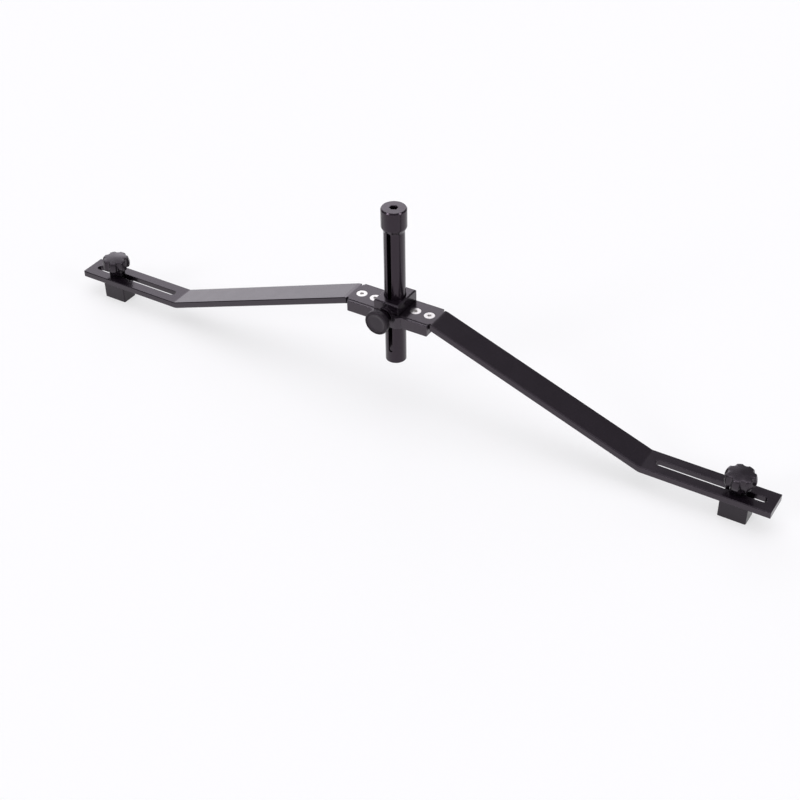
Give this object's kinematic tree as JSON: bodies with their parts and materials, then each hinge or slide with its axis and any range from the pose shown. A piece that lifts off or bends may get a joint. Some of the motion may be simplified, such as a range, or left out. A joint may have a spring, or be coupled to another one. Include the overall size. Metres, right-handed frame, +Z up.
{
  "type": "bicycle wheel dishing gauge",
  "caption": "Two-armed rim-centring gauge: bent slotted bars with sliding feet, and a centre block through which a slotted post slides under a thumb screw.",
  "frame": {"origin": "centre of the post's lower end, the face that is set on the hub or axle end, with the post in its pictured position", "axes": "+X along the two arms towards one foot, -Y the way the thumb screw faces, +Z up along the post"},
  "size_m": [0.6872, 0.0463, 0.1875],
  "materials": {
    "black_anodised": "satin black anodised",
    "post_anodised": "glossy black anodised",
    "thumb_anodised": "black anodised, grooved rim",
    "black_cap": "plain moulded disc",
    "black_knob": "moulded, slight sheen",
    "black_nylon": "machined nylon",
    "bright_screws": "bright",
    "zinc_steel": "zinc plated",
    "brass": "turned"
  },
  "bodies": {
    "base": {"centre_block": "black_anodised", "left_arm": "black_anodised", "right_arm": "black_anodised", "left_arm_screws": "bright_screws", "right_arm_screws": "bright_screws"},
    "post": {"post": "post_anodised"},
    "clamp_tip": {"clamp_tip": "brass"},
    "clamp_knob": {"clamp_knob": "thumb_anodised", "clamp_knob_cap": "black_cap", "clamp_screw": "zinc_steel"},
    "left_foot": {"left_foot_block": "black_nylon", "left_foot_bolt": "zinc_steel"},
    "left_washer": {"left_foot_washer": "zinc_steel"},
    "left_knob": {"left_foot_knob": "black_knob", "left_foot_knob_insert": "brass"},
    "right_foot": {"right_foot_block": "black_nylon", "right_foot_bolt": "zinc_steel"},
    "right_washer": {"right_foot_washer": "zinc_steel"},
    "right_knob": {"right_foot_knob": "black_knob", "right_foot_knob_insert": "brass"}
  },
  "joints": [
    {"name": "post_slide", "type": "slide", "parent": "base", "child": "post", "axis": [0, 0, 1], "range_m": [-0.0595, 0.04]},
    {"name": "clamp_knob_turn", "type": "hinge", "parent": "clamp_tip", "child": "clamp_knob", "pos_m": [0, -0.02, 0.0533], "axis": [0, -1, 0], "range_deg": [0, 360]},
    {"name": "clamp_tip_slide", "type": "slide", "parent": "base", "child": "clamp_tip", "axis": [0, -1, 0], "range_m": [0, 0.001]},
    {"name": "left_foot_slide", "type": "slide", "parent": "base", "child": "left_foot", "axis": [-1, 0, 0], "range_m": [-0.062, 0.016]},
    {"name": "right_foot_slide", "type": "slide", "parent": "base", "child": "right_foot", "axis": [1, 0, 0], "range_m": [-0.062, 0.016]},
    {"name": "left_knob_rise", "type": "slide", "parent": "left_foot", "child": "left_washer", "axis": [0, 0, 1], "range_m": [0, 0.0008]},
    {"name": "right_knob_rise", "type": "slide", "parent": "right_foot", "child": "right_washer", "axis": [0, 0, 1], "range_m": [0, 0.0008]},
    {"name": "left_knob_turn", "type": "hinge", "parent": "left_washer", "child": "left_knob", "pos_m": [-0.3125, 0, -0.01], "axis": [0, 0, 1], "range_deg": [0, 360]},
    {"name": "right_knob_turn", "type": "hinge", "parent": "right_washer", "child": "right_knob", "pos_m": [0.3125, 0, -0.01], "axis": [0, 0, 1], "range_deg": [0, 360]}
  ],
  "couplings": [
    {"joint": "clamp_knob_turn", "follows": "clamp_tip_slide", "rad_per_m": 6283.2},
    {"joint": "left_knob_turn", "follows": "left_knob_rise", "rad_per_m": 7854},
    {"joint": "right_knob_turn", "follows": "right_knob_rise", "rad_per_m": 7854}
  ]
}
